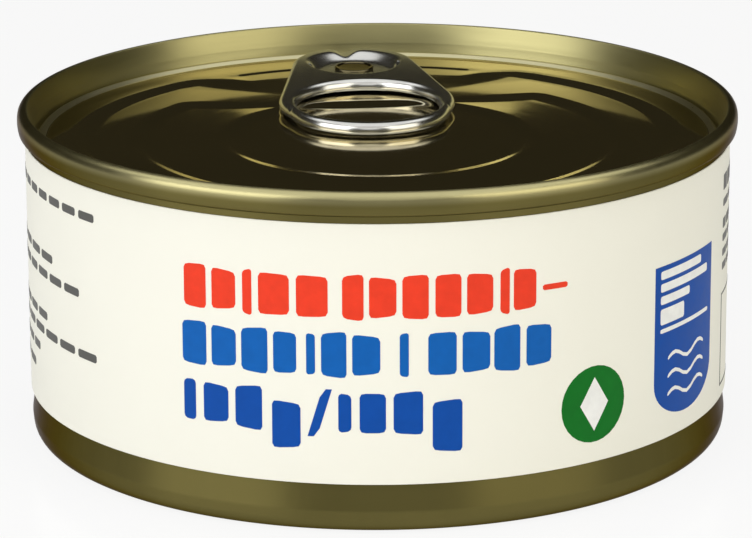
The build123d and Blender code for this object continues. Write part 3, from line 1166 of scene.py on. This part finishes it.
class MESH_OT_print_rows(bpy.types.Operator):
    """Prints the three rows of rounded bars."""

    bl_idname = "mesh.tuna_can_print_rows"
    bl_label = "Printed rows"

    def execute(self, context):
        radius = context.scene.label_sizes.radius
        finishes = context.scene.finishes
        prints = context.scene.print_sizes
        red = Print(radius, PRINT_PROUD)
        red.row(RED_BARS, *prints.red_row, prints)
        red.bar(*prints.dash, corner=prints.dash_corner)
        red.finish("print_red_row", ink("ink_red_row", finishes.red))
        blue = Print(radius, PRINT_PROUD)
        blue.row(BLUE_BARS, *prints.blue_row, prints)
        blue.finish("print_blue_row", ink("ink_blue_row", finishes.blue))
        navy = Print(radius, PRINT_PROUD)
        navy.row(NAVY_BARS, *prints.navy_row, prints)
        navy.bar(*prints.first_drop, prints.drop_lean, prints.bar_corner)
        navy.bar(*prints.second_drop, -prints.drop_lean, prints.bar_corner)
        navy.slant(*prints.slash, prints.slash_width)
        navy.finish("print_navy_row", ink("ink_navy_row", finishes.navy))
        return {"FINISHED"}


class MESH_OT_print_marks(bpy.types.Operator):
    """Prints the green disc and the blue field with their pale shapes."""

    bl_idname = "mesh.tuna_can_print_marks"
    bl_label = "Printed disc and field"

    def execute(self, context):
        radius = context.scene.label_sizes.radius
        finishes = context.scene.finishes
        prints = context.scene.print_sizes
        along, height, disc_radius = prints.disc
        disc = Print(radius, PRINT_PROUD)
        disc.disc(along, height, disc_radius)
        disc.finish("print_green_disc", ink("ink_green", finishes.green))

        middle, half_width = prints.field
        bottom, straight, top = prints.field_levels

        def rounded_foot(place_along):
            part = np.clip(((place_along - middle) / half_width) ** 2, 0, 1)
            return straight - (straight - bottom) * np.sqrt(1 - part)

        field = Print(radius, PRINT_PROUD)
        field.column_shape(middle - half_width, middle + half_width, rounded_foot, lambda _: top)
        field.finish("print_blue_field", ink("ink_field", finishes.navy))

        pale = Print(radius, INLAY_PROUD)
        pale.diamond(along, height, *prints.diamond)
        left = prints.field_bars
        for level, length, thickness in FIELD_BARS:
            pale.bar(left, left + length * MM, (level - thickness / 2) * MM,
                     (level + thickness / 2) * MM, corner=prints.fine_corner)
        wave_left, wave_right, swing, wave_width = prints.waves
        for level in FIELD_WAVES:
            pale.wave(wave_left, wave_right, level * MM, swing, wave_width)
        pale.finish("print_pale_shapes", ink("ink_pale", finishes.white))
        return {"FINISHED"}


class MESH_OT_print_lines(bpy.types.Operator):
    """Prints the small grey dashes at both sides."""

    bl_idname = "mesh.tuna_can_print_lines"
    bl_label = "Printed small lines"

    def execute(self, context):
        prints = context.scene.print_sizes
        dashes = Print(context.scene.label_sizes.radius, PRINT_PROUD)
        half = prints.left_line / 2
        for row, (height, right) in enumerate(LEFT_LINES):
            for start, end in small_words(right, -LINES_END, shortest=2.2, spread=1.9, gap=0.8,
                                          pace=3.1, shift=1.7 * row + 0.5):
                dashes.bar(start * MM, end * MM, height * MM - half, height * MM + half,
                           corner=prints.fine_corner)
        for row, (height, thickness) in enumerate(RIGHT_LINES):
            for start, end in small_words(RIGHT_START, LINES_END, shortest=1.6, spread=1.7, gap=0.6,
                                          pace=2.3, shift=1.3 * row + 0.4):
                dashes.bar(start * MM, end * MM, (height - thickness / 2) * MM,
                           (height + thickness / 2) * MM, corner=prints.dash_corner)
        left, right, bottom, top = prints.frame
        line = prints.frame_line
        for height in (top, bottom):
            dashes.bar(left, right, height - line / 2, height + line / 2, corner=0.0)
        for side in (left, right - line):
            dashes.bar(side, side + line, bottom, top, corner=0.0)
        dashes.finish("print_grey_lines", ink("ink_grey", context.scene.finishes.grey))
        return {"FINISHED"}


class SCENE_OT_stage(bpy.types.Operator):
    """Makes the floor, lamps, surroundings and camera."""

    bl_idname = "scene.tuna_can_stage"
    bl_label = "Stage"

    def execute(self, context):
        settings = context.scene.stage_settings
        make_floor(settings)
        make_world(settings)
        for lamp in LAMPS:
            make_lamp(*lamp)
        make_camera(settings)
        context.scene.view_settings.view_transform = "Standard"
        return {"FINISHED"}


def make_floor(settings):
    """A large plain floor."""
    mesh = bpy.data.meshes.new("floor")
    half = settings.floor_size / 2
    corners = [(-half, -half, 0), (half, -half, 0), (half, half, 0), (-half, half, 0)]
    mesh.from_pydata(corners, [], [(0, 1, 2, 3)])
    floor = bpy.data.objects.new("floor", mesh)
    bpy.context.scene.collection.objects.link(floor)
    material, tree, shader = new_finish("pale_floor")
    shader.inputs["Roughness"].default_value = settings.floor_roughness
    shader.inputs["IOR"].default_value = settings.floor_ior
    cloud = noise(tree, place(tree), scale=3.0)
    link(tree, shader, Base_Color=tint(tree, cloud, settings.floor_colour, spread=0.01))
    brighten_in_view(tree, shader, settings.floor_lift, settings.mirror_lift)
    mesh.materials.append(material)


def brighten_in_view(tree, shader, direct, mirrored):
    """Blends a plain white glow into a finish, one share for the view and one for reflections."""
    rays = add_node(tree, "ShaderNodeLightPath").outputs
    bounced = combine(tree, "MAXIMUM", rays["Is Glossy Ray"], rays["Is Transmission Ray"])
    seen = combine(tree, "MULTIPLY", rays["Is Camera Ray"], direct)
    share = combine(tree, "MAXIMUM", seen, combine(tree, "MULTIPLY", bounced, mirrored))
    glow = add_node(tree, "ShaderNodeEmission").outputs[0]
    inputs = {"Fac": share, 1: shader.outputs[0], 2: glow}
    blend = add_node(tree, "ShaderNodeMixShader", inputs).outputs[0]
    tree.links.new(blend, tree.nodes["Material Output"].inputs["Surface"])


def make_world(settings):
    """Dim even surroundings."""
    world = bpy.data.worlds.new("surroundings")
    world.use_nodes = True
    background = world.node_tree.nodes["Background"]
    background.inputs["Color"].default_value = (*settings.world_colour, 1.0)
    bpy.context.scene.world = world


def make_lamp(name, where, aim, extent, power, tone):
    """A soft rectangular lamp that points at a height on the can's axis."""
    light = bpy.data.lights.new(name, "AREA")
    light.shape = "RECTANGLE"
    light.size, light.size_y = extent
    light.energy = power
    light.color = tone
    lamp = bpy.data.objects.new(name, light)
    lamp.location = where
    direction = Vector((0, 0, aim)) - Vector(where)
    lamp.rotation_euler = direction.to_track_quat("-Z", "Y").to_euler()
    bpy.context.scene.collection.objects.link(lamp)


def make_camera(settings):
    """The camera, in front of the can and looking a little down."""
    data = bpy.data.cameras.new("camera")
    data.sensor_width = 36
    data.lens = settings.camera_lens
    data.shift_x = settings.camera_shift
    data.clip_start = 0.01
    camera = bpy.data.objects.new("camera", data)
    pitch, roll = settings.camera_pitch, settings.camera_roll
    forward = Vector((0, math.cos(pitch), -math.sin(pitch)))
    level_up = Vector((0, math.sin(pitch), math.cos(pitch)))
    level_right = Vector((1, 0, 0))
    up = math.sin(roll) * level_right + math.cos(roll) * level_up
    right = math.cos(roll) * level_right - math.sin(roll) * level_up
    rotation = Matrix((right, up, -forward)).transposed()
    stand = Matrix.Translation((0, -settings.camera_distance, settings.camera_height))
    camera.matrix_world = stand @ rotation.to_4x4()
    bpy.context.scene.collection.objects.link(camera)
    bpy.context.scene.camera = camera


class VIEW3D_PT_tuna_can(bpy.types.Panel):
    """Lists the steps that make the can."""

    bl_idname = "VIEW3D_PT_tuna_can"
    bl_label = "Tuna Can"
    bl_space_type = "VIEW_3D"
    bl_region_type = "UI"
    bl_category = "Tuna Can"

    def draw(self, context):
        for operator in OPERATORS:
            self.layout.operator(operator.bl_idname)
        for group in GROUPS:
            box = self.layout.box()
            box.label(text=group.replace("_", " ").capitalize())
            settings = getattr(context.scene, group)
            for name in settings.__annotations__:
                box.prop(settings, name)


GROUPS = {
    "body_sizes": BodySizes,
    "end_sizes": EndSizes,
    "pull_sizes": PullSizes,
    "label_sizes": LabelSizes,
    "print_sizes": PrintSizes,
    "finishes": Finishes,
    "stage_settings": StageSettings,
}
OPERATORS = (
    MESH_OT_can_body,
    MESH_OT_can_end,
    MESH_OT_ring_pull,
    MESH_OT_rivet,
    MESH_OT_label,
    MESH_OT_print_rows,
    MESH_OT_print_marks,
    MESH_OT_print_lines,
    SCENE_OT_stage,
)


def register():
    """Registers the settings, operators and panel."""
    for name, group in GROUPS.items():
        bpy.utils.register_class(group)
        setattr(bpy.types.Scene, name, PointerProperty(type=group))
    for operator in OPERATORS:
        bpy.utils.register_class(operator)
    bpy.utils.register_class(VIEW3D_PT_tuna_can)


def unregister():
    """Removes them again."""
    bpy.utils.unregister_class(VIEW3D_PT_tuna_can)
    for operator in reversed(OPERATORS):
        bpy.utils.unregister_class(operator)
    for name, group in GROUPS.items():
        delattr(bpy.types.Scene, name)
        bpy.utils.unregister_class(group)


def main():
    """Builds the can and its stage."""
    register()
    for operator in OPERATORS:
        group, step = operator.bl_idname.split(".")
        getattr(getattr(bpy.ops, group), step)()


if __name__ == "__main__":
    main()
